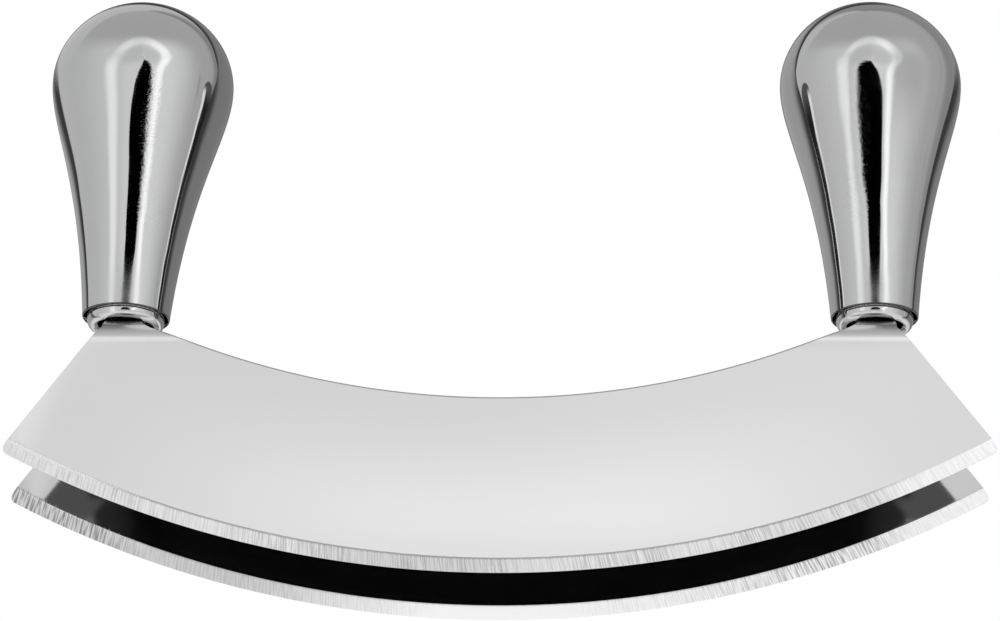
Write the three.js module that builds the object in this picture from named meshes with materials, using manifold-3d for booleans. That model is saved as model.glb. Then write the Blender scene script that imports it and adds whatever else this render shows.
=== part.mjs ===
// Double mezzaluna: two parallel rocking blades hung from two upright, hollow bulb handles.
// Millimetres, +Z up. X runs along the blades and the front blade is on the -Y side. The origin is on the
// board, midway between the two cutting edges.
import * as THREE from "three";
import { mergeVertices, toCreasedNormals } from "three/addons/utils/BufferGeometryUtils.js";
import Module from "manifold-3d";

// Blades
const BLADE_LENGTH = 240; // between the two tips, before they are rounded
const BLADE_HEIGHT = 44.3; // from cutting edge to back, at mid length
const BLADE_THICKNESS = 1.5;
const BLADE_SPACING = 35; // between the middle planes of the two sheets
const EDGE_RADIUS = 248; // rocking curve of the cutting edge
const BACK_RADIUS = 201; // hollow curve of the back
const BEVEL_HEIGHT = 4; // ground band above the cutting edge, on both faces
const EDGE_LAND = 0.2; // thickness left at the cutting edge
const TIP_ROUNDING = 2.2; // reach of a tip's rounding along its two sides

// Ears, bent inward below the handles, and the tangs above them
const BEND_ANGLE = 64; // turn of each of the two bends, in degrees
const BEND_RADIUS = 3; // at the middle of the sheet
const BEND_DROP = 3.6; // start of the lower bend, below the place where the back meets the tang
const EAR_RISE = 2.6; // top of a blade's straight end, above the start of the lower bend
const EAR_FILLET = 4; // reach of the rounding between back and tang
const TANG_WIDTH = 9;
const TANG_LENGTH = 24; // above the collar mouth
const TANG_GAP = 0.3; // between the two tangs of a handle

// Handles
const HANDLE_SPAN = 182.6; // between the two handle axes, at the collar mouths
const LEFT_LEAN = 3; // inward lean of the left handle, in degrees
const RIGHT_LEAN = 0;
const HANDLE_LENGTH = 82; // from the rim of the neck to the crown
const BULB_RADIUS = 22.3;
const BULB_CROWN = 20.9; // crown above the widest ring
const SHOULDER_PULL = 11.2; // how far the bulb runs straight before it tapers
const NECK_PULL = 36.6; // how far up the neck keeps its own slope
const NECK_FLARE = 0.08; // that slope, as radius gained per height
const NECK_RADIUS = 10.7;
const RIM_ROUNDING = 0.6;
const SHELL_WALL = 0.9;

// Collars, and the cores that hold the tangs
const COLLAR_SHOW = 2.6; // below the rim of the neck
const COLLAR_LENGTH = 16;
const COLLAR_WALL = 0.9;
const COLLAR_CLEARANCE = 0.3; // inside the neck
const LIP_CLEARANCE = 0.7; // between the collar mouth and the corners of the bent ears under it
const CORE_RECESS = 7; // above the collar mouth
const CORE_LENGTH = 20;
const CORE_CLEARANCE = 0.3; // inside the collar
const SLOT_CLEARANCE = 0.3; // around the pair of tangs

// Rivets through core and tangs
const RIVET_RADIUS = 1.5;
const RIVET_CLEARANCE = 0.25;
const RIVET_INSET = 0.6; // end of a rivet below the core's surface
const LOWER_RIVET = 12; // above the collar mouth
const RIVET_PITCH = 7;

// Facets
const EDGE_FACETS = 240; // in a full turn of the cutting edge's curve
const ROUND_FACETS = 40; // around handles, collars and cores
const RIVET_FACETS = 20;
const OUTER_FACETS = 10; // in the dome, and in the taper, of a handle
const INNER_FACETS = 6; // the same on the inside of its shell
const LIP_FACETS = 5; // around the lip of a collar
const CURVE_FACETS = 10; // in a rounding of the blade's outline, with twice as many along the back
const BEND_FACETS = 4; // half the facets of a bend
const SHEET_CREASE = 5; // angle between facets that shows as an edge on the blades, in degrees
const ROUND_CREASE = 20; // the same on turned pieces

const SPARE = 2; // how far a cutting tool reaches past what it cuts

// Worked out from the sizes above
const bend = THREE.MathUtils.degToRad(BEND_ANGLE);
const edgeCentre = EDGE_RADIUS * Math.cos(Math.PI / EDGE_FACETS); // puts the lowest facet on the board
const backCentre = BLADE_HEIGHT + BACK_RADIUS;
const tipX = BLADE_LENGTH / 2;
const tipHeight = edgeCentre - Math.sqrt(EDGE_RADIUS ** 2 - tipX ** 2);
const handleX = HANDLE_SPAN / 2;
const planeY = BLADE_SPACING / 2;
const tangY = (TANG_GAP + BLADE_THICKNESS) / 2;
const collarRadius = NECK_RADIUS - SHELL_WALL - COLLAR_CLEARANCE;
const boreRadius = collarRadius - COLLAR_WALL;
const coreRadius = boreRadius - CORE_CLEARANCE;
const bendStart = backHeight(handleX - TANG_WIDTH / 2) - BEND_DROP;
const bendInset = BEND_RADIUS * (1 - Math.cos(bend));
const bendRise = BEND_RADIUS * Math.sin(bend);
const webRise = (planeY - tangY - 2 * bendInset) / Math.tan(bend);
const tangStart = bendStart + 2 * bendRise + webRise;
const lipY = Math.sqrt(boreRadius ** 2 - (TANG_WIDTH / 2) ** 2); // where a tang's side meets the bore
const webAtLip = bendStart + bendRise + (planeY - bendInset - lipY) / Math.tan(bend);
const mouthHeight = webAtLip + BLADE_THICKNESS / 2 / Math.sin(bend) + LIP_CLEARANCE;
const rivetHeights = [LOWER_RIVET, LOWER_RIVET + RIVET_PITCH];

const wasm = await Module();
wasm.setup();

// Height of the blades' back at a distance x from mid length.
function backHeight(x) {
  return BLADE_HEIGHT + BACK_RADIUS - Math.sqrt(BACK_RADIUS ** 2 - x ** 2);
}

// A closed geometry as a solid that can be cut and joined.
function solid(geometry) {
  const bare = new THREE.BufferGeometry();
  bare.setAttribute("position", geometry.getAttribute("position"));
  bare.setIndex(geometry.getIndex());
  const merged = mergeVertices(bare);
  const corners = merged.getIndex().array;
  const triangles = [];
  for (let i = 0; i < corners.length; i += 3) {
    const [a, b, c] = corners.slice(i, i + 3);
    if (a !== b && b !== c && c !== a) {
      triangles.push(a, b, c);
    }
  }
  const vertProperties = new Float32Array(merged.getAttribute("position").array);
  const triVerts = new Uint32Array(triangles);
  return new wasm.Manifold(new wasm.Mesh({ numProp: 3, vertProperties, triVerts }));
}

function geometryOf(body) {
  const mesh = body.getMesh();
  const geometry = new THREE.BufferGeometry();
  geometry.setAttribute("position", new THREE.BufferAttribute(mesh.vertProperties, 3));
  geometry.setIndex(new THREE.BufferAttribute(mesh.triVerts, 1));
  return geometry;
}

// The same geometry on the other side of the middle plane between the blades.
function mirroredInY(geometry) {
  const copy = geometry.clone();
  copy.scale(1, -1, 1);
  const corners = copy.getIndex().array;
  for (let i = 0; i < corners.length; i += 3) {
    const first = corners[i];
    corners[i] = corners[i + 1];
    corners[i + 1] = first;
  }
  return copy;
}

// Solid of revolution about Z from a profile of [radius, height] points.
function turned(points, facets) {
  const profile = points.map(([radius, height]) => new THREE.Vector2(radius, height));
  return new THREE.LatheGeometry(profile, facets).rotateX(Math.PI / 2);
}

function extruded(shape, depth, curveSegments) {
  return new THREE.ExtrudeGeometry(shape, { depth, curveSegments, bevelEnabled: false });
}

// A named mesh whose facets shade as one surface where they meet at less than the crease angle.
function piece(name, geometry, material, crease) {
  const mesh = new THREE.Mesh(toCreasedNormals(geometry, THREE.MathUtils.degToRad(crease)), material());
  mesh.name = name;
  return mesh;
}

const steel = (color, roughness) => new THREE.MeshStandardMaterial({ color, roughness, metalness: 1 });
const bladeSteel = () => steel(0xd2d3d4, 0.28);
const polishedSteel = () => steel(0xc4c5c7, 0.06);
const darkCore = () => new THREE.MeshStandardMaterial({ color: 0x1b1b1c, roughness: 0.6 });

// Handle frames: origin at the collar mouth, Z along the handle's axis.
function handleFrame(side, lean) {
  const frame = new THREE.Group();
  frame.position.set(side * handleX, 0, mouthHeight);
  frame.rotation.y = -side * THREE.MathUtils.degToRad(lean);
  frame.updateMatrix();
  return frame;
}

const handles = [
  { name: "left", side: -1, frame: handleFrame(-1, LEFT_LEAN) },
  { name: "right", side: 1, frame: handleFrame(1, RIGHT_LEAN) },
];

// A point of a handle's frame, across and along its axis, as [x, z] of the blade's plane.
function bladePoint(frame, across, along) {
  const point = new THREE.Vector3(across, 0, along).applyMatrix4(frame.matrix);
  return new THREE.Vector2(point.x, point.z);
}

// Points of one end of the blade's outline, from the cutting edge over the tip and the tang to the back.
function bladeEnd({ side, frame }) {
  const tip = new THREE.Vector2(side * tipX, tipHeight);
  const shoulder = bladePoint(frame, (side * TANG_WIDTH) / 2, bendStart + EAR_RISE - mouthHeight);
  const corner = bladePoint(frame, (-side * TANG_WIDTH) / 2, bendStart + BEND_DROP - mouthHeight);
  const alongEnd = shoulder.clone().sub(tip).setLength(TIP_ROUNDING);
  const alongEdge = new THREE.Vector2(-side * (edgeCentre - tipHeight), -tipX).setLength(TIP_ROUNDING);
  const backX = corner.x - side * EAR_FILLET;
  return {
    edge: tip.clone().add(alongEdge),
    tip,
    end: tip.clone().add(alongEnd),
    shoulder,
    tangOuter: bladePoint(frame, (side * TANG_WIDTH) / 2, TANG_LENGTH),
    tangInner: bladePoint(frame, (-side * TANG_WIDTH) / 2, TANG_LENGTH),
    fillet: bladePoint(frame, (-side * TANG_WIDTH) / 2, bendStart + BEND_DROP - mouthHeight + EAR_FILLET),
    corner,
    back: new THREE.Vector2(backX, backHeight(backX)),
  };
}

// Outline of a blade in X and Z. Below the cutting edge it has spare, which the grinding takes away.
function bladeOutline() {
  const [left, right] = handles.map(bladeEnd);
  const spareRadius = EDGE_RADIUS + SPARE;
  const angleFrom = (centre, point) => Math.atan2(point.y - centre, point.x);
  const outline = new THREE.Shape();
  outline.moveTo(right.edge.x, right.edge.y);
  outline.quadraticCurveTo(right.tip.x, right.tip.y, right.end.x, right.end.y);
  for (const point of [right.shoulder, right.tangOuter, right.tangInner, right.fillet]) {
    outline.lineTo(point.x, point.y);
  }
  outline.quadraticCurveTo(right.corner.x, right.corner.y, right.back.x, right.back.y);
  const backAngles = [right.back, left.back].map((point) => angleFrom(backCentre, point));
  outline.absarc(0, backCentre, BACK_RADIUS, ...backAngles, true);
  outline.quadraticCurveTo(left.corner.x, left.corner.y, left.fillet.x, left.fillet.y);
  for (const point of [left.tangInner, left.tangOuter, left.shoulder, left.end]) {
    outline.lineTo(point.x, point.y);
  }
  outline.quadraticCurveTo(left.tip.x, left.tip.y, left.edge.x, left.edge.y);
  const spareAngles = [left.edge, right.edge].map((point) => angleFrom(edgeCentre, point));
  outline.absarc(0, edgeCentre, spareRadius, ...spareAngles, false);
  return outline;
}

// Section of the front sheet in Y and Z: flat blade, lower bend, web, upper bend and tang.
function sheetSection() {
  const half = BLADE_THICKNESS / 2;
  const top = mouthHeight + TANG_LENGTH + SPARE;
  const lower = [-planeY + BEND_RADIUS, bendStart];
  const upper = [-tangY - BEND_RADIUS, tangStart];
  const section = new THREE.Shape();
  section.moveTo(-planeY - half, -SPARE);
  section.lineTo(-planeY - half, bendStart);
  section.absarc(...lower, BEND_RADIUS + half, Math.PI, Math.PI - bend, true);
  section.absarc(...upper, BEND_RADIUS - half, -bend, 0, false);
  section.lineTo(-tangY - half, top);
  section.lineTo(-tangY + half, top);
  section.absarc(...upper, BEND_RADIUS + half, 0, -bend, true);
  section.absarc(...lower, BEND_RADIUS - half, Math.PI - bend, Math.PI, false);
  section.lineTo(-planeY + half, -SPARE);
  return section;
}

// Disc about Y whose rim is ground from both faces: what it holds of the sheet is the finished blade.
function groundDisc() {
  const half = BLADE_THICKNESS / 2;
  const full = EDGE_RADIUS - BEVEL_HEIGHT;
  const profile = [
    [0, -planeY - half - SPARE],
    [full, -planeY - half - SPARE],
    [full, -planeY - half],
    [EDGE_RADIUS, -planeY - EDGE_LAND / 2],
    [EDGE_RADIUS, -planeY + EDGE_LAND / 2],
    [full, -planeY + half],
    [full, SPARE],
    [0, SPARE],
  ].map(([radius, y]) => new THREE.Vector2(radius, y));
  return new THREE.LatheGeometry(profile, EDGE_FACETS, Math.PI / EDGE_FACETS).translate(0, 0, edgeCentre);
}

// Tools for the rivet holes, in the frame of a handle.
function rivetHoles(reach) {
  const radius = RIVET_RADIUS + RIVET_CLEARANCE;
  return rivetHeights.map((height) =>
    new THREE.CylinderGeometry(radius, radius, reach, RIVET_FACETS).translate(0, 0, height),
  );
}

function frontBlade() {
  const depth = planeY + BLADE_THICKNESS;
  const outlineToWorld = new THREE.Matrix4().makeBasis(
    new THREE.Vector3(1, 0, 0),
    new THREE.Vector3(0, 0, 1),
    new THREE.Vector3(0, -1, 0),
  );
  const sectionToWorld = new THREE.Matrix4().makeBasis(
    new THREE.Vector3(0, 1, 0),
    new THREE.Vector3(0, 0, 1),
    new THREE.Vector3(1, 0, 0),
  );
  const outline = extruded(bladeOutline(), depth, CURVE_FACETS).applyMatrix4(outlineToWorld);
  const sheet = extruded(sheetSection(), BLADE_LENGTH, BEND_FACETS)
    .translate(0, 0, -tipX)
    .applyMatrix4(sectionToWorld);
  let blade = solid(outline).intersect(solid(sheet)).intersect(solid(groundDisc()));
  for (const { frame } of handles) {
    for (const hole of rivetHoles(2 * BLADE_SPACING)) {
      blade = blade.subtract(solid(hole.applyMatrix4(frame.matrix)));
    }
  }
  return geometryOf(blade);
}

// Surface of the handle from crown to rim, moved in by an inset, as [radius, height] above the collar mouth.
function handleProfile(inset, rimHeight, facets) {
  const widest = COLLAR_SHOW + HANDLE_LENGTH - BULB_CROWN;
  const radius = BULB_RADIUS - inset;
  const dome = new THREE.EllipseCurve(0, widest, radius, BULB_CROWN - inset, Math.PI / 2, 0, true);
  const taper = new THREE.CubicBezierCurve(
    new THREE.Vector2(radius, widest),
    new THREE.Vector2(radius, widest - SHOULDER_PULL),
    new THREE.Vector2(NECK_RADIUS - inset + NECK_FLARE * NECK_PULL, COLLAR_SHOW + NECK_PULL),
    new THREE.Vector2(NECK_RADIUS - inset, rimHeight),
  );
  const [crown, ...rest] = [...dome.getPoints(facets), ...taper.getPoints(facets).slice(1)];
  return [[0, crown.y], ...rest.map((point) => [point.x, point.y])];
}

function handleHalves() {
  const outer = handleProfile(0, COLLAR_SHOW + RIM_ROUNDING, OUTER_FACETS);
  const inner = handleProfile(SHELL_WALL, COLLAR_SHOW, INNER_FACETS).reverse();
  const midRounding = RIM_ROUNDING * (1 - Math.SQRT1_2);
  outer.push([NECK_RADIUS - midRounding, COLLAR_SHOW + midRounding], [NECK_RADIUS - RIM_ROUNDING, COLLAR_SHOW]);
  const shell = solid(turned([...outer, ...inner].reverse(), ROUND_FACETS));
  const reach = 2 * BULB_RADIUS + SPARE;
  const tall = HANDLE_LENGTH + COLLAR_SHOW + 2 * SPARE;
  const front = new THREE.BoxGeometry(reach, reach, tall).translate(0, -reach / 2, tall / 2 - SPARE);
  const rear = front.clone().translate(0, reach, 0);
  return { front: geometryOf(shell.intersect(solid(front))), rear: geometryOf(shell.intersect(solid(rear))) };
}

// Ring with a round lip at its mouth.
function collar() {
  const half = COLLAR_WALL / 2;
  const lip = new THREE.EllipseCurve(collarRadius - half, half, half, half, Math.PI, 2 * Math.PI);
  const profile = lip.getPoints(LIP_FACETS).map((point) => [point.x, point.y]);
  profile.push([collarRadius, COLLAR_LENGTH], [boreRadius, COLLAR_LENGTH], profile[0]);
  return turned(profile, ROUND_FACETS);
}

function tangCore() {
  const halfWidth = TANG_WIDTH / 2 + SLOT_CLEARANCE;
  const halfDepth = tangY + BLADE_THICKNESS / 2 + SLOT_CLEARANCE;
  const section = new THREE.Shape().absarc(0, 0, coreRadius, 0, 2 * Math.PI, false);
  const slot = new THREE.Path().setFromPoints([
    new THREE.Vector2(-halfWidth, -halfDepth),
    new THREE.Vector2(-halfWidth, halfDepth),
    new THREE.Vector2(halfWidth, halfDepth),
    new THREE.Vector2(halfWidth, -halfDepth),
  ]);
  section.holes.push(slot.closePath());
  let core = solid(extruded(section, CORE_LENGTH, ROUND_FACETS / 2).translate(0, 0, CORE_RECESS));
  for (const hole of rivetHoles(2 * collarRadius)) {
    core = core.subtract(solid(hole));
  }
  return geometryOf(core);
}

function rivet() {
  const length = 2 * (coreRadius - RIVET_INSET);
  return new THREE.CylinderGeometry(RIVET_RADIUS, RIVET_RADIUS, length, RIVET_FACETS);
}

const mezzaluna = new THREE.Group();
const blade = frontBlade();
mezzaluna.add(piece("front_blade", blade, bladeSteel, SHEET_CREASE));
mezzaluna.add(piece("rear_blade", mirroredInY(blade), bladeSteel, SHEET_CREASE));

for (const { name, frame } of handles) {
  const halves = handleHalves();
  frame.add(piece(`${name}_handle_front_shell`, halves.front, polishedSteel, ROUND_CREASE));
  frame.add(piece(`${name}_handle_rear_shell`, halves.rear, polishedSteel, ROUND_CREASE));
  frame.add(piece(`${name}_collar`, collar(), polishedSteel, ROUND_CREASE));
  frame.add(piece(`${name}_tang_core`, tangCore(), darkCore, ROUND_CREASE));
  ["lower", "upper"].forEach((level, i) => {
    const pin = piece(`${name}_${level}_rivet`, rivet(), bladeSteel, ROUND_CREASE);
    pin.position.z = rivetHeights[i];
    frame.add(pin);
  });
  mezzaluna.add(frame);
}

export default mezzaluna;
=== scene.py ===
"""Double mezzaluna: two rocking blades under two polished bulb handles, in soft studio light."""

import math

import bmesh
import bpy
from mathutils import Matrix, Vector
from mathutils.geometry import delaunay_2d_cdt


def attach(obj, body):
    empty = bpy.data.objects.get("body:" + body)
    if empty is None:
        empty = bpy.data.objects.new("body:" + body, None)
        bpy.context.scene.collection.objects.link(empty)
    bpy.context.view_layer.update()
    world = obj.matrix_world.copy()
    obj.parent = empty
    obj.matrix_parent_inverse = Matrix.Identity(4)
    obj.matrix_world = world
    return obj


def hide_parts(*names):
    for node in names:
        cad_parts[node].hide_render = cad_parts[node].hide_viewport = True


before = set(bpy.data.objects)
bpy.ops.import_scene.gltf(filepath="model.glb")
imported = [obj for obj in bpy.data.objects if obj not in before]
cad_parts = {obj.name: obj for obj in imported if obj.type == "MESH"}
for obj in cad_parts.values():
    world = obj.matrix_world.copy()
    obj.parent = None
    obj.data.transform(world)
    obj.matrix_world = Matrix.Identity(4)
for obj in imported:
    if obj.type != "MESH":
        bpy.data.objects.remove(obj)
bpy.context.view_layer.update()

MM = 0.001
MM_PER_METRE = 1000.0

# Blades in millimetres, as in the solids, apart from the ground band, which is 4 high there
BLADE_LENGTH = 240
BLADE_HEIGHT = 44.3
BLADE_THICKNESS = 1.5
BLADE_SPACING = 35
EDGE_RADIUS = 247.979
EDGE_CENTRE = 247.979
BACK_RADIUS = 201
BEVEL_HEIGHT = 3.4
EDGE_LAND = 0.2
TIP_ROUNDING = 2.3
CORNER_ROUNDING = 0.25

# Slopes that the finish adds as relief: of the ground bands and of the inner faces
GRIND_SLOPE = 0.12
FRONT_SPLAY = 0.108
REAR_SPLAY = -0.034

# Ears and tangs. The lower bend is softer than in the solids, which have BEND_RADIUS there too
BEND = math.radians(64)
BEND_RADIUS = 3
EAR_RADIUS = 6.5
BEND_DROP = 3.6
EAR_RISE = 2.6
EAR_FILLET = 4
EAR_REACH = (70, 110)
TANG_WIDTH = 9
TANG_LENGTH = 24
TANG_GAP = 0.3
RIVET_HOLE = 1.75
RIVET_HEIGHTS = (12, 19)

# Handles and collars
HANDLE_SPAN = 182.6
LEANS = {"left": 3, "right": 0}
SIDES = {"left": -1, "right": 1}
HANDLE_LENGTH = 82
BULB_RADIUS = 22.3
BULB_CROWN = 20.9
SHOULDER_PULL = 11.2
NECK_PULL = 36.6
NECK_FLARE = 0.08
NECK_RADIUS = 10.7
RIM_ROUNDING = 0.3
RIM_CHAMFER = 1.2
SHELL_WALL = 0.9
COLLAR_SHOW = 2.6
COLLAR_LENGTH = 16
COLLAR_RADIUS = 9.5
COLLAR_WALL = 0.9
LIP_WIDTH = 2.9
LIP_HEIGHT = 2.4
LIP_CLEARANCE = 0.7
LIP_INNER_EDGE = 0.4

# Floor and light tent, in millimetres
FLOOR_REACH = 30000
WALL_REACH = 3000
WALL_FOOT = 10
WALL_LEAN = 0.25
ARCH_X = 7
ARCH_WIDTH = 196
ARCH_HEIGHT = 255
ARCH_INNER_SHARE = 0.8
FRONT_CLOTH_Y = -150
TENT_LIPS = {
    "left": (
        (82, 176), (80, 162), (85, 150), (92, 138),
        (103.5, 121.5), (109, 110), (116, 96), (123, 75),
    ),
    "right": (
        (74, 169), (77, 166.5), (80, 165), (85, 162), (90, 158),
        (97, 149), (106, 138), (115.5, 121), (124, 99),
    ),
}
TENT_LIP_END = 125
TENT_LIP_SHARE = 0.67
TENT_LIP_ACROSS = 0.82
TENT_LIP_AWAY = 0.57
SKIRT_REACH = 150
SKIRT_FOOT = 14
SKIRT_TOP = 58
WING_Y = -60
WING_ENDS = (106, 240)
WING_HEIGHTS = (96, 206)
GAP_CARD_REACH = 104
GAP_CARD_DROP = 1.5
GAP_CARD_PLAY = 0.05
SHADE_CLEARANCE = 0.3

# The photograph's view, in metres: from below the level of the handles
CAMERA_RISE = math.radians(21)
CAMERA_DISTANCE = 1.88235
CAMERA_TARGET = Vector((0, 0, 0.07363))
SENSOR_WIDTH = 36
FOCAL_SHARE = 7.7211

# Fineness of the meshes
EDGE_STEPS = 360
BACK_STEPS = 160
ROUNDING_STEPS = 20
BEND_STEPS = 18
HOLE_STEPS = 24
TURN_STEPS = 144
DOME_STEPS = 44
TAPER_STEPS = 60
RIM_STEPS = 8
HOLLOW_STEPS = (12, 20)
LIP_STEPS = 20
CARD_STEPS = 64
SHADE_STEPS = (16, 24)
SHADE_TURN_STEPS = 48
ROW_DISTANCE = 0.02
BAND_MARGIN = 0.02
POINT_DISTANCE = 1e-5

# Angles between faces: flat, creased, and turned far enough to be rounded
FLAT = math.radians(0.04)
BLADE_CREASE = math.radians(5)
TURNED_CREASE = math.radians(35)
CORNER = math.radians(50)

HALF = BLADE_THICKNESS / 2
PLANE_Y = BLADE_SPACING / 2
TANG_Y = (TANG_GAP + BLADE_THICKNESS) / 2
HANDLE_X = HANDLE_SPAN / 2
BACK_CENTRE = BLADE_HEIGHT + BACK_RADIUS
BAND_RADIUS = EDGE_RADIUS - BEVEL_HEIGHT
BORE_RADIUS = COLLAR_RADIUS - COLLAR_WALL


def back_height(x):
    """Height of the blades' hollow back at a distance x from mid length."""
    return BACK_CENTRE - math.sqrt(BACK_RADIUS**2 - x**2)


BEND_START = back_height(HANDLE_X - TANG_WIDTH / 2) - BEND_DROP
BEND_INSET = BEND_RADIUS * (1 - math.cos(BEND))
BEND_RISE = BEND_RADIUS * math.sin(BEND)
WEB_RUN = PLANE_Y - TANG_Y - 2 * BEND_INSET
TANG_START = BEND_START + 2 * BEND_RISE + WEB_RUN / math.tan(BEND)
LIP_Y = math.sqrt(BORE_RADIUS**2 - (TANG_WIDTH / 2) ** 2)
WEB_AT_LIP = BEND_START + BEND_RISE + (PLANE_Y - BEND_INSET - LIP_Y) / math.tan(BEND)
MOUTH = WEB_AT_LIP + HALF / math.sin(BEND) + LIP_CLEARANCE
EAR_START = BEND_START - (EAR_RADIUS - BEND_RADIUS) * math.tan(BEND / 2)


class Value:
    """A socket whose value changes over a surface. Arithmetic on it adds Math nodes."""

    def __init__(self, finish, socket):
        self.finish = finish
        self.socket = socket

    def maths(self, operation, *others):
        return self.finish.maths(operation, self, *others)

    def __add__(self, other):
        return self.maths("ADD", other)

    def __radd__(self, other):
        return self.finish.maths("ADD", other, self)

    def __sub__(self, other):
        return self.maths("SUBTRACT", other)

    def __rsub__(self, other):
        return self.finish.maths("SUBTRACT", other, self)

    def __mul__(self, other):
        return self.maths("MULTIPLY", other)

    def __rmul__(self, other):
        return self.finish.maths("MULTIPLY", other, self)

    def __truediv__(self, other):
        return self.maths("DIVIDE", other)

    def __rtruediv__(self, other):
        return self.finish.maths("DIVIDE", other, self)

    def __abs__(self):
        return self.maths("ABSOLUTE")

    def above(self, other):
        return self.maths("MAXIMUM", other)


class Finish:
    """The nodes of one material, or of the world."""

    def __init__(self, tree):
        self.tree = tree
        self.tree.nodes.clear()

    def node(self, kind, settings=None, sockets=None, out=0):
        """Adds a node and gives its output of a name or number."""
        made = self.tree.nodes.new(kind)
        for name, setting in (settings or {}).items():
            setattr(made, name, setting)
        for name, value in (sockets or {}).items():
            if isinstance(value, Value):
                self.tree.links.new(value.socket, made.inputs[name])
            else:
                made.inputs[name].default_value = value
        return Value(self, made.outputs[out]) if made.outputs else made

    def maths(self, operation, *values):
        return self.node("ShaderNodeMath", {"operation": operation}, dict(enumerate(values)))

    def rise(self, value, start, end, low=0.0, high=1.0):
        """Low up to start, high from end on, and smooth between them."""
        settings = {"interpolation_type": "SMOOTHSTEP"}
        inputs = {"Value": value, "From Min": start, "From Max": end}
        return self.node("ShaderNodeMapRange", settings, {**inputs, "To Min": low, "To Max": high})

    def fade(self, value, full, gone):
        """1 up to full, 0 from gone on, and smooth between them."""
        return self.rise(value, full, gone, 1.0, 0.0)

    def between(self, value, start, full, fading, gone):
        """1 from full to fading, 0 before start and after gone, and smooth between them."""
        return self.rise(value, start, full) * self.fade(value, fading, gone)

    def blend(self, amount, first, second):
        """A number that goes from first to second."""
        return self.node("ShaderNodeMix", {"data_type": "FLOAT"}, {0: amount, 2: first, 3: second})

    def tint(self, amount, first, second):
        """A colour that goes from first to second."""
        sockets = {0: amount, 6: first, 7: second}
        return self.node("ShaderNodeMix", {"data_type": "RGBA"}, sockets, out=2)

    def part(self, vector, index):
        """The X, Y or Z of a vector, by its index."""
        return self.node("ShaderNodeSeparateXYZ", None, {0: vector}, out=index)

    def place(self):
        """X, Y and Z in the object's own frame, in millimetres."""
        where = self.node("ShaderNodeTexCoord", out="Object")
        return tuple(self.part(where, i) * MM_PER_METRE for i in range(3))

    def facing(self):
        """How far the surface faces along Y."""
        return self.part(self.node("ShaderNodeNewGeometry", out="Normal"), 1)

    def behind(self):
        """1 on the back of a sheet, 0 on its front."""
        return self.node("ShaderNodeNewGeometry", out="Backfacing")

    def ray(self, kind):
        """1 on Camera or Glossy rays, 0 on others."""
        return self.node("ShaderNodeLightPath", out=f"Is {kind} Ray")

    def noise(self, place, fineness, detail, roughness):
        """Noise that is as fine along each direction of a place as given."""
        scaled = [along * fine for along, fine in zip(place, fineness)]
        where = self.node("ShaderNodeCombineXYZ", None, dict(enumerate(scaled)))
        sockets = {"Vector": where, "Scale": 1.0, "Detail": detail, "Roughness": roughness}
        return self.node("ShaderNodeTexNoise", None, sockets)

    def relief(self, height, depth, strength=1.0):
        """A surface relief. Depth is the height of one unit in metres."""
        sockets = {"Strength": strength, "Distance": depth, "Height": height}
        return self.node("ShaderNodeBump", None, sockets)

    def glow(self, colour):
        return self.node("ShaderNodeEmission", None, {"Color": colour})

    def clear(self):
        return self.node("ShaderNodeBsdfTransparent")

    def mix(self, amount, first, second):
        """A shader that goes from first to second."""
        return self.node("ShaderNodeMixShader", None, {0: amount, 1: first, 2: second})

    def show(self, shader):
        sockets = {"Surface": shader}
        self.node("ShaderNodeOutputMaterial", {"is_active_output": True}, sockets)

    def show_surface(self, **sockets):
        named = {name.replace("_", " "): value for name, value in sockets.items()}
        self.show(self.node("ShaderNodeBsdfPrincipled", None, named))


def new_finish(name):
    material = bpy.data.materials.new(name)
    material.use_nodes = True
    return material, Finish(material.node_tree)


def grey(value, warmth=0.0):
    return (value * (1 + warmth), value, value * (1 - warmth), 1.0)


def length(across, up):
    return (across * across + up * up).maths("SQRT")


def ground_colour(f, place, inner, left_end):
    """Light and dark strokes of a ground band, at a place along, through and down the band."""
    along, y, depth = place
    across = (along - depth * 0.16, y, depth)
    stroke = f.noise(across, (4.0, 0.7, 0.05), 2.0, 0.5)
    fine_stroke = f.noise(across, (10.0, 0.7, 0.12), 2.0, 0.5)
    broad_stroke = f.noise(across, (2.2, 0.7, 0.06), 2.0, 0.5)
    strokes = stroke * 0.6 + fine_stroke * 0.4

    # Outer faces: darker where the wheel pressed harder, bright at the right end
    press = f.noise(place, (0.06, 0.3, 0.02), 2.0, 0.6)
    right_end = f.rise(along, 88.0, 104.0)
    dark = f.tint(f.rise(press, 0.35, 0.6), grey(0.68), grey(0.52))
    dark = f.tint(right_end, dark, grey(0.82))
    light = f.tint(right_end, grey(0.84), grey(0.97))

    # Inner faces: coarse strokes towards both ends, even ones left of the middle
    coarse = left_end.above(f.between(along, 30.0, 84.0, 92.0, 106.0) * 0.8)
    even = f.between(along, -106.0, -86.0, -10.0, 10.0)
    fine_inside = f.tint(f.fade(abs(along), 12.0, 30.0), grey(0.80), grey(0.96))
    coarse_inside = f.tint(even, grey(0.24), grey(0.56))
    dark = f.tint(inner, dark, f.tint(coarse, fine_inside, coarse_inside))
    light = f.tint(inner, light, f.tint(left_end, grey(0.97), grey(0.70)))

    contrast = f.blend(inner * coarse, strokes, broad_stroke * 0.75 + fine_stroke * 0.25)
    worn = f.fade(abs(along + 20.0), 10.0, 38.0) * (1 - inner)
    colour = f.tint(f.rise(contrast, 0.38, 0.58), dark, light)
    return f.tint(worn * 0.15, colour, grey(0.0)), stroke, strokes


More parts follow.
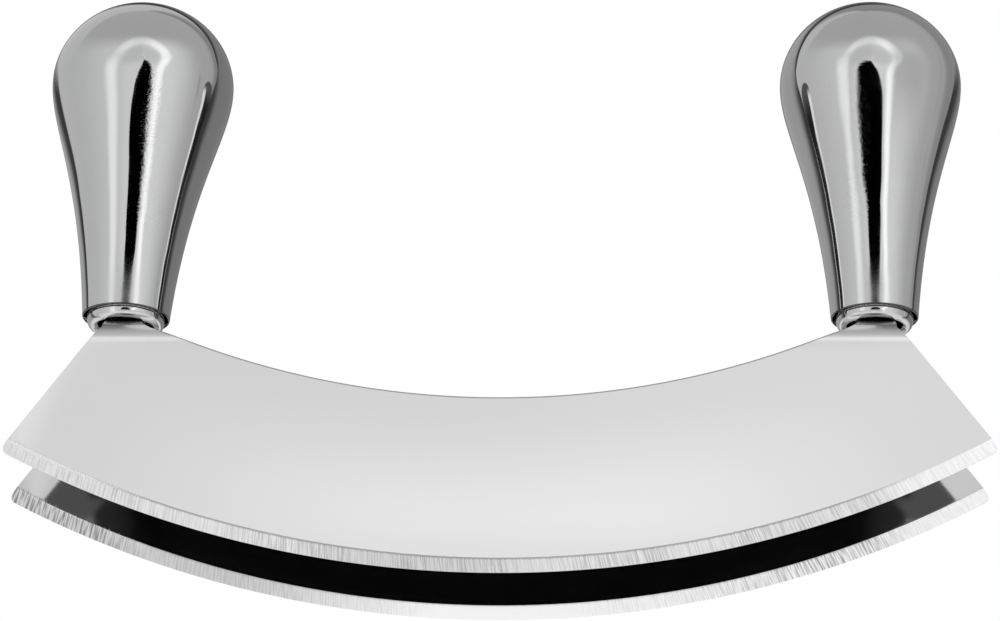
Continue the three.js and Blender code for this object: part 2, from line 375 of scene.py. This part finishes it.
def blade_finish():
    """Satin outer faces, polished inner faces, and a band ground across the edge on both."""
    material, f = new_finish("satin_blade_steel")
    x, y, z = f.place()
    drop = EDGE_CENTRE - z
    depth = length(x, drop) - BAND_RADIUS
    from_back = length(x, BACK_CENTRE - z) - BACK_RADIUS
    along = x.maths("ARCTAN2", drop) * EDGE_RADIUS

    # Where the parts of the sheet lie
    inside_y = f.fade(abs(y), PLANE_Y - 0.05, PLANE_Y + 0.05)
    inner = inside_y * f.fade(z, EAR_START - 2.0, EAR_START)
    ear = f.rise(z, EAR_START - 3.0, EAR_START + 2.0)
    # Darker up the ear towards the collar's mouth: painted shade
    mouth_shade = f.rise(z, EAR_START + 1.5, EAR_START + 6.0)
    tip = f.rise(abs(along), 80.0, 112.0)
    left_end = f.fade(along, -72.0, -14.0)
    # Lighter towards the lower middle of the faces: a painted reflection
    painted_glow = f.rise(depth, -40.0, -8.0) * f.fade(abs(x), 20.0, 115.0)
    # A thin dark line along the back's top edge: painted shade, where the edge is also rougher
    back_edge_shade = f.fade(from_back, 0.15, 0.45) * f.fade(abs(x), 80.0, 84.0)

    # The ground band, with a ragged start at the left tip and a dark border elsewhere
    ground, stroke, strokes = ground_colour(f, (along, y, depth), inner, left_end)
    line = depth + (stroke - 0.5) * (0.4 + tip * left_end * 3.6)
    softness = 0.08 + tip * 0.5
    band = f.rise(line, 0 - softness, softness)
    border = f.between(line, -0.2, -0.08, 0.1, 0.55) * (1 - tip) * (1 - inner * 0.5)

    grain = f.noise((x, y, z), (0.05, 0.6, 3.2), 4.0, 0.65)
    cloud = f.noise((x, y, z), (0.02, 0.02, 0.035), 2.0, 0.5)
    face = f.tint(painted_glow * 0.85 + cloud * 0.12, grey(0.81), grey(0.97))
    face = f.tint(mouth_shade, face, grey(0.4))
    # The inner faces are a darker grey: painted shade of the gap between the blades
    face = f.tint(inner, face, grey(0.66))
    darkness = (border * 0.62).above(back_edge_shade * 0.7)
    colour = f.tint(darkness, f.tint(band, face, ground), grey(0.2))

    satin = f.blend(inner, 0.085 + grain * 0.03 + cloud * 0.015, 0.06)
    satin = f.blend(ear.above(back_edge_shade), satin, 0.26)
    roughness = f.blend(band, satin, 0.28 + stroke * 0.12)
    height = f.blend(band, grain * 0.0015, (strokes - 0.5) * 0.03)
    slope = f.blend(f.rise(y, -1.0, 1.0), FRONT_SPLAY, REAR_SPLAY)
    splay = f.fade(f.facing() * y, -14.0, -10.0) * slope
    tilt = (EAR_START - z).above(0.0) * splay - depth.above(0.0) * GRIND_SLOPE
    normal = f.relief(height + tilt, MM)
    f.show_surface(Base_Color=colour, Metallic=1.0, Roughness=roughness, Normal=normal)
    return material


def handle_finish():
    """Mirror polish with faint rings of the wheel, a little unevenness and a trace of handling."""
    material, f = new_finish("polished_handle_steel")
    x, y, z = f.place()
    leaning = f.fade(x, -1.0, 1.0) * math.sin(math.radians(LEANS["left"]))
    from_axis = abs(x - (z - MOUTH) * leaning) - HANDLE_X
    from_mouth = z + (x + HANDLE_X) * leaning - MOUTH

    # Places with a finish of their own: a marked strip, a brushed neck, a flat spot, and the rim,
    # painted dark as shade
    marked = f.fade(abs(from_axis + 3.9), 2.0, 4.5) * f.fade(y, -9.0, -4.0)
    marked = marked * f.between(z, 88.0, 96.0, 124.0, 132.0)
    brushed = f.fade(z, 75.0, 86.0) * f.fade(abs(abs(x) - HANDLE_X), 3.0, 6.0)
    flat = f.between(x, 40.0, 60.0, HANDLE_X - 6.5, HANDLE_X - 1.0)
    flat = flat * f.between(z, 94.0, 106.0, 132.0, 142.0)
    rim = f.fade(from_mouth - COLLAR_SHOW, 0.22, 0.4)

    rings = f.noise((x, y, z), (0.22, 0.22, 3.4), 3.0, 0.6)
    marks = f.noise((x, y, z), (0.7, 0.7, 3.0), 2.0, 0.6)
    waves = f.noise((x, y, z), (0.1, 0.1, 0.08), 1.0, 0.4)
    smudge = f.noise((x, y, z), (0.07, 0.07, 0.09), 4.0, 0.6)
    colour = f.tint(smudge, grey(0.575, -0.004), grey(0.615, -0.004))
    # The rim is painted dark: painted shade of the gap between the shell and the collar
    colour = f.tint(rim, colour, grey(0.1))
    roughness = 0.035 + f.rise(smudge, 0.4, 0.75) * 0.045 + rings * 0.02 + brushed * 0.12
    height = waves * 0.15 + flat * 0.2 + rings * 0.0005 + marks * marked * 0.042
    normal = f.relief(height, MM)
    f.show_surface(Base_Color=colour, Metallic=1.0, Roughness=roughness, Normal=normal)
    return material


def collar_finish():
    """Polished steel with fine turning lines."""
    material, f = new_finish("turned_collar_steel")
    place = f.place()
    lines = f.noise(place, (0.12, 0.12, 9.0), 3.0, 0.6)
    wear = f.noise(place, (0.4, 0.4, 0.4), 3.0, 0.6)
    colour = f.tint(wear, grey(0.60), grey(0.66))
    roughness = 0.06 + wear * 0.06 + lines * 0.04
    normal = f.relief(lines, depth=0.000006, strength=0.6)
    f.show_surface(Base_Color=colour, Metallic=1.0, Roughness=roughness, Normal=normal)
    return material


def core_finish():
    """Dark moulded plastic with a fine matt grain."""
    material, f = new_finish("dark_core_plastic")
    place = f.place()
    grain = f.noise(place, (3.0, 3.0, 3.0), 3.0, 0.6)
    cloud = f.noise(place, (0.3, 0.3, 0.3), 2.0, 0.5)
    colour = f.tint(cloud, grey(0.018), grey(0.034))
    normal = f.relief(grain, depth=0.00002, strength=0.6)
    f.show_surface(Base_Color=colour, Roughness=0.5 + grain * 0.2, Normal=normal)
    return material


def rivet_finish():
    """Plain drawn steel pins."""
    material, f = new_finish("drawn_rivet_steel")
    drawn = f.noise(f.place(), (4.0, 0.2, 4.0), 3.0, 0.6)
    colour = f.tint(drawn, grey(0.50), grey(0.64))
    roughness = 0.24 + drawn * 0.14
    normal = f.relief(drawn, depth=0.00001, strength=0.6)
    f.show_surface(Base_Color=colour, Metallic=1.0, Roughness=roughness, Normal=normal)
    return material


def handle_frame(name):
    """Frame of a handle in millimetres: origin at the collar mouth, Z along its axis."""
    side = SIDES[name]
    lean = Matrix.Rotation(-side * math.radians(LEANS[name]), 4, "Y")
    return Matrix.Translation((side * HANDLE_X, 0, MOUTH)) @ lean


def curve_through(start, pull, end, steps):
    """Points of a rounding from start to end that bends towards pull, without start."""
    shares = [i / steps for i in range(1, steps + 1)]
    return [start * (1 - t) ** 2 + pull * 2 * t * (1 - t) + end * t**2 for t in shares]


def full_turn(steps):
    return [2 * math.pi * i / steps for i in range(steps)]


def edge_point(radius, turn):
    """A point of the cutting edge in X and Z, or of a curve inside it."""
    return Vector((radius * math.sin(turn), EDGE_CENTRE - radius * math.cos(turn)))


def edge_line(radius, reach):
    """Points along the cutting edge, or a curve inside it, by a turn of reach to both sides."""
    turns = [reach * (2 * i / EDGE_STEPS - 1) for i in range(EDGE_STEPS + 1)]
    return [edge_point(radius, turn) for turn in turns]


def blade_end(name):
    """One end of the outline in X and Z, from the cutting edge over tip and tang to the back."""
    side = SIDES[name]
    place = handle_frame(name)

    def ear_point(across, along):
        point = place @ Vector((across, 0, along))
        return Vector((point.x, point.z))

    half_tang = side * TANG_WIDTH / 2
    tip_turn = math.asin(BLADE_LENGTH / 2 / EDGE_RADIUS)
    tip = edge_point(EDGE_RADIUS, side * tip_turn)
    edge = edge_point(EDGE_RADIUS, side * (tip_turn - TIP_ROUNDING / EDGE_RADIUS))
    shoulder = ear_point(half_tang, BEND_START + EAR_RISE - MOUTH)
    end = tip + (shoulder - tip).normalized() * TIP_ROUNDING
    corner = ear_point(-half_tang, BEND_START + BEND_DROP - MOUTH)
    fillet = ear_point(-half_tang, BEND_START + BEND_DROP - MOUTH + EAR_FILLET)
    back_x = corner.x - side * EAR_FILLET
    back = Vector((back_x, back_height(back_x)))
    points = [edge, *curve_through(edge, tip, end, ROUNDING_STEPS), shoulder]
    points += [ear_point(half_tang, TANG_LENGTH), ear_point(-half_tang, TANG_LENGTH), fillet]
    return points + curve_through(fillet, corner, back, ROUNDING_STEPS)


def blade_outline():
    """The outline of a blade in X and Z, anticlockwise from the right end of its cutting edge."""
    right, left = blade_end("right"), blade_end("left")[::-1]
    turns = [math.atan2(p.y - BACK_CENTRE, p.x) for p in (right[-1], left[0])]
    start, end = (t if t < 0 else t - 2 * math.pi for t in turns)
    back = []
    for i in range(1, BACK_STEPS):
        t = start + (end - start) * i / BACK_STEPS
        back.append(Vector((BACK_RADIUS * math.cos(t), BACK_CENTRE + BACK_RADIUS * math.sin(t))))
    edge = edge_line(EDGE_RADIUS, math.asin(right[0].x / EDGE_RADIUS))[1:-1]
    return right + back + left + edge


def bend_rows():
    """Heights at which the bends of the ears are divided, on both faces of the sheet."""
    rows = set()
    for offset in (-HALF, HALF):
        for i in range(BEND_STEPS + 1):
            turn = math.sin(BEND * i / BEND_STEPS)
            rows.add(round(EAR_START + (EAR_RADIUS - offset) * turn, 4))
            rows.add(round(TANG_START - (BEND_RADIUS + offset) * turn, 4))
    rows = sorted(rows)
    return [z for i, z in enumerate(rows) if i == 0 or z - rows[i - 1] > ROW_DISTANCE]


def sheet_y(z, offset):
    """Y of the bent front sheet at a height, and at an offset from its middle to the gap."""
    lower, upper = EAR_RADIUS - offset, BEND_RADIUS + offset
    low_y, high_y = -PLANE_Y + EAR_RADIUS, -TANG_Y - BEND_RADIUS
    if z <= EAR_START:
        return -PLANE_Y + offset
    if z >= TANG_START:
        return -TANG_Y + offset
    if z <= EAR_START + lower * math.sin(BEND):
        return low_y - math.sqrt(lower**2 - (z - EAR_START) ** 2)
    if z >= TANG_START - upper * math.sin(BEND):
        return high_y + math.sqrt(upper**2 - (z - TANG_START) ** 2)
    foot = (low_y - lower * math.cos(BEND), EAR_START + lower * math.sin(BEND))
    return foot[0] + (z - foot[1]) * math.tan(BEND)


def band_depth(x, z):
    """How far below the start of the ground band a point of the blade lies."""
    return math.hypot(x, EDGE_CENTRE - z) - BAND_RADIUS


def face_y(x, z, side):
    """Y of the front blade's outer face for side -1 and of its inner face for side 1."""
    depth = band_depth(x, z)
    if depth <= 0:
        return sheet_y(z, side * HALF)
    thinning = (EDGE_LAND / 2 - HALF) * min(1, depth / BEVEL_HEIGHT)
    return -PLANE_Y + side * (HALF + thinning)


def inside(point, loop):
    """Whether a point of the blade's plane lies inside a closed loop."""
    hit = False
    last = loop[-1]
    for here in loop:
        if (here.y > point.y) != (last.y > point.y):
            share = (point.y - here.y) / (last.y - here.y)
            if point.x < (last.x - here.x) * share + here.x:
                hit = not hit
        last = here
    return hit


def rivet_loops():
    """The rivet holes of both tangs, as loops of the blade's plane."""
    loops = []
    for name in SIDES:
        place = handle_frame(name)
        for height in RIVET_HEIGHTS:
            loop = []
            for t in full_turn(HOLE_STEPS):
                across, up = RIVET_HOLE * math.cos(t), RIVET_HOLE * math.sin(t)
                point = place @ Vector((across, 0, height + up))
                loop.append(Vector((point.x, point.z)))
            loops.append(loop)
    return loops


def blade_plan():
    """Points and triangles of the blade in X and Z, divided at the band and along the bends."""
    outline, holes = blade_outline(), rivet_loops()
    points, links = [], []

    def lay(line, closed):
        first = len(points)
        points.extend(line)
        links.extend((first + i, first + i + 1) for i in range(len(line) - 1))
        if closed:
            links.append((len(points) - 1, first))

    for loop in (outline, *holes):
        lay(loop, True)
    lay(edge_line(BAND_RADIUS, math.asin(BLADE_LENGTH / 2 / BAND_RADIUS)), False)
    for row in bend_rows():
        for side in SIDES.values():
            lay([Vector((side * x, row)) for x in EAR_REACH], False)
    plan, _, corners, *_ = delaunay_2d_cdt(points, links, [], 0, POINT_DISTANCE)
    kept = []
    for triangle in corners:
        middle = sum((plan[i] for i in triangle), Vector((0, 0))) / 3
        if inside(middle, outline) and not any(inside(middle, hole) for hole in holes):
            kept.append(triangle)
    return plan, kept


def blade_mesh(plan, triangles, side):
    """The front blade for side -1 or the rear one for side 1, lifted off its plan to both faces."""
    bm = bmesh.new()
    faces = {}
    used = sorted({i for triangle in triangles for i in triangle})
    for face in (-1, 1):
        faces[face] = {}
        for i in used:
            x, z = plan[i]
            faces[face][i] = bm.verts.new((x * MM, -side * face_y(x, z, face) * MM, z * MM))
        for triangle in triangles:
            bm.faces.new([faces[face][i] for i in triangle])
    sides = [pair for corners in triangles for pair in zip(corners, (*corners[1:], corners[0]))]
    known = set(sides)
    for a, b in sides:
        if (b, a) not in known:
            bm.faces.new([faces[-1][a], faces[-1][b], faces[1][b], faces[1][a]])
    bmesh.ops.recalc_face_normals(bm, faces=bm.faces[:])
    bmesh.ops.dissolve_limit(bm, angle_limit=FLAT, verts=bm.verts[:], edges=bm.edges[:])
    return bm


def placed(name, bm, finish):
    """Puts a mesh into the scene."""
    mesh = bpy.data.meshes.new(name)
    bm.to_mesh(mesh)
    bm.free()
    mesh.materials.append(finish)
    piece = bpy.data.objects.new(name, mesh)
    bpy.context.scene.collection.objects.link(piece)
    return piece


def piece_of(name, bm, finish):
    piece = placed(name, bm, finish)
    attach(piece, "root")
    return piece


def make_blade(name, plan, triangles, side, finish):
    """A blade with rounded corners, apart from its ground band, which stays sharp."""
    bm = blade_mesh(plan, triangles, side)
    weights = bm.edges.layers.float.new("bevel_weight_edge")
    for edge in bm.edges:
        turn = edge.calc_face_angle(0)
        on_band = max(band_depth(v.co.x / MM, v.co.z / MM) for v in edge.verts) > BAND_MARGIN
        if turn > CORNER and not on_band:
            edge[weights] = 1.0
        elif turn > BLADE_CREASE:
            edge.smooth = False
    for face in bm.faces:
        face.smooth = True
    piece = piece_of(name, bm, finish)
    rounding = piece.modifiers.new("rounded_corners", "BEVEL")
    rounding.limit_method = "WEIGHT"
    rounding.width = CORNER_ROUNDING * MM
    rounding.segments = 3
    flats = piece.modifiers.new("flat_faces", "WEIGHTED_NORMAL")
    flats.mode = "FACE_AREA"
    flats.keep_sharp = True
    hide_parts(name.replace("_sheet", ""))


def turned(profile, place):
    """A body of revolution from a profile of (radius, height), closed unless it meets the axis."""
    bm = bmesh.new()
    rings = []
    for radius, height in profile:
        if radius == 0:
            rings.append([bm.verts.new(place @ Vector((0, 0, height)) * MM)] * TURN_STEPS)
            continue
        turns = full_turn(TURN_STEPS)
        spots = [Vector((radius * math.cos(t), radius * math.sin(t), height)) for t in turns]
        rings.append([bm.verts.new(place @ spot * MM) for spot in spots])
    closed = profile[0][0] != 0
    for first, second in zip(rings, rings[1:] + (rings[:1] if closed else [])):
        for i in range(TURN_STEPS):
            j = (i + 1) % TURN_STEPS
            corners = []
            for vert in (first[i], first[j], second[j], second[i]):
                if vert not in corners:
                    corners.append(vert)
            if len(corners) > 2:
                bm.faces.new(corners)
    bmesh.ops.recalc_face_normals(bm, faces=bm.faces[:])
    for face in bm.faces:
        face.smooth = True
    return bm


def quarter(centre, across, up, start, stop, steps):
    """Points on an ellipse between two angles in degrees."""
    angles = [math.radians(start + (stop - start) * i / steps) for i in range(steps + 1)]
    return [(centre[0] + across * math.cos(a), centre[1] + up * math.sin(a)) for a in angles]


def handle_surface(inset, rim, dome_steps, taper_steps):
    """Half section of the handle from crown to rim, moved in by an inset."""
    widest = COLLAR_SHOW + HANDLE_LENGTH - BULB_CROWN
    radius = BULB_RADIUS - inset
    dome = quarter((0, widest), radius, BULB_CROWN - inset, 90, 0, dome_steps)
    dome[0] = (0, dome[0][1])
    pulls = (
        Vector((radius, widest)),
        Vector((radius, widest - SHOULDER_PULL)),
        Vector((NECK_RADIUS - inset + NECK_FLARE * NECK_PULL, COLLAR_SHOW + NECK_PULL)),
        Vector((NECK_RADIUS - inset, rim)),
    )
    taper = []
    for i in range(1, taper_steps + 1):
        t = i / taper_steps
        shares = ((1 - t) ** 3, 3 * (1 - t) ** 2 * t, 3 * (1 - t) * t**2, t**3)
        taper.append(tuple(sum((p * s for p, s in zip(pulls, shares)), Vector((0, 0)))))
    return dome + taper


def make_handle(name, finish):
    """A hollow handle, with a rounded rim outside and a chamfer inside."""
    outside = handle_surface(0, COLLAR_SHOW + RIM_ROUNDING, DOME_STEPS, TAPER_STEPS)
    rim_centre = (NECK_RADIUS - RIM_ROUNDING, COLLAR_SHOW + RIM_ROUNDING)
    rim = quarter(rim_centre, RIM_ROUNDING, RIM_ROUNDING, 0, -90, RIM_STEPS)[1:]
    hollow = handle_surface(SHELL_WALL, COLLAR_SHOW + RIM_CHAMFER, *HOLLOW_STEPS)[::-1]
    bm = turned(outside + rim + hollow, handle_frame(name))
    piece = piece_of(f"{name}_handle", bm, finish)
    piece.data.set_sharp_from_angle(angle=TURNED_CREASE)
    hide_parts(f"{name}_handle_front_shell", f"{name}_handle_rear_shell")


def make_collar(name, finish):
    """A ring whose lower edge is rounded and rolled inward to a lip."""
    half = LIP_WIDTH / 2
    middle = COLLAR_RADIUS - half
    inside_lip = quarter((middle, half), half, half, 120, 270, LIP_STEPS)
    outside_lip = quarter((middle, LIP_HEIGHT), half, LIP_HEIGHT, 270, 360, LIP_STEPS)[1:]
    wall = [
        (COLLAR_RADIUS, COLLAR_LENGTH),
        (BORE_RADIUS, COLLAR_LENGTH),
        (BORE_RADIUS, LIP_WIDTH + LIP_INNER_EDGE),
    ]
    bm = turned(inside_lip + outside_lip + wall, handle_frame(name))
    piece = piece_of(f"{name}_collar_ring", bm, finish)
    piece.data.set_sharp_from_angle(angle=TURNED_CREASE)
    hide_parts(f"{name}_collar")


def dress(node, finish):
    """Gives a solid that stays in view its finish."""
    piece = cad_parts[node]
    piece.data.materials.clear()
    piece.data.materials.append(finish)


def card(name, rows, finish):
    """A sheet of the studio through rows of points in millimetres."""
    bm = bmesh.new()
    verts = [[bm.verts.new(Vector(point) * MM) for point in row] for row in rows]
    for first, second in zip(verts, verts[1:]):
        for i in range(len(first) - 1):
            bm.faces.new((first[i], first[i + 1], second[i + 1], second[i]))
    piece = placed(name, bm, finish)
    return piece


def metal_card(name, rows, finish):
    """A card that shows in metal and nowhere else."""
    piece = card(name, rows, finish)
    piece.visible_camera = False
    piece.visible_diffuse = False
    piece.visible_shadow = False
    piece.visible_transmission = False


def floor_finish():
    """Pale matt floor that keeps the shadow, whitens with distance and is open from below."""
    material, f = new_finish("pale_floor")
    x, y, _ = f.place()
    away = length(x, y)
    in_metal = f.ray("Glossy")
    paint = f.node("ShaderNodeBsdfDiffuse", None, {"Color": grey(0.86)})
    # In metal the floor is half painted white glow, and all white under the front of the gap where
    # the knife shades it: painted light
    glow_under_gap = f.rise(y, -24.0, -15.0) * f.rise(x, -150.0, -10.0)
    whiteness = f.blend(in_metal, f.rise(away, 350.0, 1100.0), 0.5 + glow_under_gap * 0.5)
    lit = f.mix(whiteness, paint, f.glow(grey(1.0)))
    openness = f.behind().above(in_metal * f.rise(away, 160.0, 420.0))
    f.show(f.mix(openness, lit, f.clear()))
    return material


def lay_floor():
    rows = [[(-FLOOR_REACH, y, 0), (FLOOR_REACH, y, 0)] for y in (-FLOOR_REACH, FLOOR_REACH)]
    card("floor", rows, floor_finish())


def hang_gap_card():
    """A dark card in the top of the gap between the blades, seen only in metal: painted shade in
    the reflections there.
    """
    material, f = new_finish("gap_shade_card")
    x, *_ = f.place()
    colour = f.tint(f.rise(abs(x), 91.0, 99.0), grey(0.002), grey(0.04))
    f.show(f.mix(f.behind(), f.glow(colour), f.clear()))
    half = PLANE_Y - HALF - GAP_CARD_PLAY
    rows = []
    for i in range(CARD_STEPS + 1):
        x = 2 * GAP_CARD_REACH * i / CARD_STEPS - GAP_CARD_REACH
        z = min(back_height(x) - GAP_CARD_DROP, EAR_START)
        rows.append([(x, -half, z), (x, half, z)])
    metal_card("gap_card", rows, material)


def hang_tent_wall():
    """The rear wall of the light tent, with an arch behind the knife that darkens to its hem."""
    material, f = new_finish("tent_cloth")
    x, _, z = f.place()
    around = length((x - ARCH_X) / ARCH_WIDTH, z / ARCH_HEIGHT)
    hemmed = f.fade(z, 148.0, 182.0).above(f.fade(abs(x), 95.0, 125.0))
    right_side = 0.34 + f.rise(x, 215.0, 420.0) * 0.18 + f.fade(z, 85.0, 140.0) * 0.1
    cloth = f.blend(f.rise(x, -60.0, 60.0), 0.69, right_side)
    wall = f.glow(f.blend(f.fade(around, 1.08, 1.13) * hemmed, cloth, 0.06))
    shaded = f.rise(around, 0.84, 1.0) * hemmed
    inside_arch = f.mix(shaded, f.clear(), f.glow(grey(0.06)))
    f.show(f.mix(f.rise(around, 0.995, 1.005), inside_arch, wall))
    inner_width, inner_height = ARCH_INNER_SHARE * ARCH_WIDTH, ARCH_INNER_SHARE * ARCH_HEIGHT
    rows = []
    for i in range(CARD_STEPS + 1):
        t = math.pi * i / CARD_STEPS
        across, up = math.cos(t), math.sin(t)
        near = (ARCH_X + inner_width * across, inner_height * up)
        far = (WALL_REACH * across, WALL_REACH * up)
        rows.append([(x, WALL_FOOT + WALL_LEAN * z, z) for x, z in (near, far)])
    metal_card("tent_wall", rows, material)


def hang_tent_lips():
    """Bright cloth close in front of the handles, beside the camera's opening."""
    material, f = new_finish("tent_lip_cloth")
    x, _, z = f.place()
    f.show(f.glow(f.blend(f.rise(x, -20.0, 20.0), 0.93, 1.0) - f.rise(z, 146.0, 172.0) * 0.16))
    for name, side in SIDES.items():
        rows = []
        for x, z in TENT_LIPS[name]:
            reach = (TENT_LIP_END - x) / TENT_LIP_SHARE
            near = (side * x, FRONT_CLOTH_Y, z)
            far_x = side * (x + TENT_LIP_ACROSS * reach)
            rows.append([near, (far_x, FRONT_CLOTH_Y - TENT_LIP_AWAY * reach, z)])
        metal_card(f"{name}_tent_lip", rows, material)


def hang_tent_skirt():
    """Cloth low in front of the blades, which they show when they are seen from level."""
    material, f = new_finish("tent_skirt_cloth")
    _, _, z = f.place()
    density = f.between(z, SKIRT_FOOT, SKIRT_FOOT + 12.0, SKIRT_TOP - 8.0, SKIRT_TOP)
    f.show(f.mix(density, f.clear(), f.glow(grey(0.78))))
    ends = (-SKIRT_REACH, SKIRT_REACH)
    rows = [[(x, FRONT_CLOTH_Y, z) for x in ends] for z in (SKIRT_FOOT, SKIRT_TOP)]
    metal_card("tent_skirt", rows, material)


def hang_right_wing():
    """A thin cloth beside the right handle."""
    material, f = new_finish("wing_cloth")
    x, _, z = f.place()
    across = f.between(x, 106.0, 122.0, 130.0, 238.0)
    up = f.between(z, 96.0, 128.0, 142.0, 205.0)
    f.show(f.mix(across * up * 0.5, f.clear(), f.glow(grey(0.35))))
    metal_card("right_wing", [[(x, WING_Y, z) for x in WING_ENDS] for z in WING_HEIGHTS], material)


def hang_handle_shades():
    """Painted reflections of each handle in the other one: a dark side, and a glowing painted
    highlight along the edge to the front.
    """
    material, f = new_finish("handle_shade")
    _, _, z = f.place()
    edge = f.fade(f.facing(), -0.5, -0.36) * f.fade(z, 128.0, 142.0)
    shade = f.glow(0.02 + f.rise(z, 118.0, 140.0) * 0.1 + edge * 1.1)
    f.show(f.mix(f.behind(), shade, f.clear()))
    profile = handle_surface(-SHADE_CLEARANCE, COLLAR_SHOW, *SHADE_STEPS)[:0:-1]
    for name, side in SIDES.items():
        place, middle = handle_frame(name), 270 - side * 90
        steps = [2 * i / SHADE_TURN_STEPS - 1 for i in range(SHADE_TURN_STEPS + 1)]
        turns = [math.radians(middle + 90 * step) for step in steps]
        rows = []
        for radius, height in profile:
            spots = [Vector((radius * math.cos(t), radius * math.sin(t), height)) for t in turns]
            rows.append([place @ spot for spot in spots])
        metal_card(f"{name}_handle_shade", rows, material)


def tent_light(f, x, y, z):
    """Light of the tent in front, by turn and lift in degrees: an arch round an opening."""
    degrees = 180 / math.pi
    turn = x.maths("ARCTAN2", 0 - y) * degrees
    lift = z.maths("ARCSINE") * degrees
    right = f.rise(turn, -2.0, 2.0)

    # A soft glow on both sides, with a brighter leg on the left
    leg = f.fade(abs(turn + 37.5), 2.0, 12.0) * f.fade(lift, 8.0, 26.0)
    left_glow = 0.14 + f.fade(abs(turn), 40.0, 90.0) * 0.13 + f.fade(abs(turn), 15.0, 30.0) * 0.1
    right_glow = f.fade(turn, 30.0, 88.0) * 0.44
    glow = f.blend(right, left_glow + leg * 0.4, right_glow) * f.fade(lift, 28.0, 55.0)

    # The arch: a bright strip, a shade below it and a small spot
    width = f.blend(right, 33.0, 22.0 + f.rise(lift, 0.0, 22.0) * 12.0)
    arch = length(turn / width, (lift - 10.0).above(0.0) / 33.0)
    left_strength = f.rise(lift, 6.0, 35.0) * 0.3
    right_strength = 0.58 - f.rise(lift, 12.0, 20.0) * 0.1
    strength = f.blend(f.rise(turn, 0.0, 18.0), left_strength, right_strength)
    strip = f.fade(abs(arch - 1.0), 0.06, 0.3) * strength
    shade = f.fade(arch, 0.55, 0.9) * f.rise(lift, 6.0, 15.0)
    spot = f.fade(length(turn / 1.6, lift - 17.5), 1.0, 4.0)

    opening = f.fade(length(turn / 13.8, (lift - 3.0).above(0.0) / 11.2), 0.93, 1.05)
    return (0.56 + glow + strip + spot * 0.08 - shade * 0.17) * (1 - opening)


def rear_light(f, x, y):
    """Light from behind the tent's wall, which is darkest straight behind the knife."""
    left_rear = f.fade(x, -0.35, -0.08) * f.rise(y, 0.3, 0.55)
    straight_back = f.fade(abs(x), 0.1, 0.25) * f.rise(y, 0.8, 0.86)
    return 0.06 + f.rise(y, 0.25, 0.45) * 0.21 - straight_back * 0.12 + left_rear * 0.2


def light_studio():
    """White behind everything, and in metal a light tent."""
    world = bpy.data.worlds.new("studio")
    bpy.context.scene.world = world
    world.use_nodes = True
    f = Finish(world.node_tree)
    direction = f.node("ShaderNodeTexCoord", out="Generated")
    x, y, z = (f.part(direction, i) for i in range(3))
    beyond = f.rise(y - z.above(0.0) * WALL_LEAN, 0.015, 0.045)
    radiance = f.blend(beyond, tent_light(f, x, y, z), rear_light(f, x, y))
    colours = (radiance, grey(0.55), grey(1.0))
    metal, matt, white = (f.node("ShaderNodeBackground", None, {"Color": c}) for c in colours)
    shown = f.mix(f.ray("Camera"), f.mix(f.ray("Glossy"), matt, metal), white)
    f.node("ShaderNodeOutputWorld", {"is_active_output": True}, {"Surface": shown})


def hang_lamp():
    """One soft round lamp above the left front, which metal doesn't show."""
    place = Vector((-0.5, -0.7, 1.7))
    lamp = bpy.data.lights.new("top_light", "AREA")
    lamp.shape = "DISK"
    lamp.size = 1.2
    lamp.energy = 26
    holder = bpy.data.objects.new("top_light", lamp)
    holder.location = place
    holder.rotation_mode = "QUATERNION"
    holder.rotation_quaternion = (-place).to_track_quat("-Z", "Y")
    holder.visible_glossy = False
    bpy.context.scene.collection.objects.link(holder)


def set_camera():
    aim = Vector((0, math.cos(CAMERA_RISE), math.sin(CAMERA_RISE)))
    lens = bpy.data.cameras.new("front_below")
    lens.sensor_width = SENSOR_WIDTH
    lens.lens = SENSOR_WIDTH * FOCAL_SHARE
    lens.clip_start = 0.05
    lens.clip_end = 100
    camera = bpy.data.objects.new("front_below", lens)
    camera.location = CAMERA_TARGET - aim * CAMERA_DISTANCE
    camera.rotation_mode = "QUATERNION"
    camera.rotation_quaternion = aim.to_track_quat("-Z", "Y")
    bpy.context.scene.collection.objects.link(camera)
    bpy.context.scene.camera = camera


set_camera()
bpy.context.scene.view_settings.view_transform = "Standard"

blade_steel = blade_finish()
handle_steel = handle_finish()
collar_steel = collar_finish()
core_plastic = core_finish()
rivet_steel = rivet_finish()

plan, triangles = blade_plan()
make_blade("front_blade_sheet", plan, triangles, -1, blade_steel)
make_blade("rear_blade_sheet", plan, triangles, 1, blade_steel)
for hand in SIDES:
    make_handle(hand, handle_steel)
    make_collar(hand, collar_steel)
    dress(f"{hand}_tang_core", core_plastic)
    for level in ("lower", "upper"):
        dress(f"{hand}_{level}_rivet", rivet_steel)

lay_floor()
hang_gap_card()
hang_tent_wall()
hang_tent_lips()
hang_tent_skirt()
hang_right_wing()
hang_handle_shades()
light_studio()
hang_lamp()
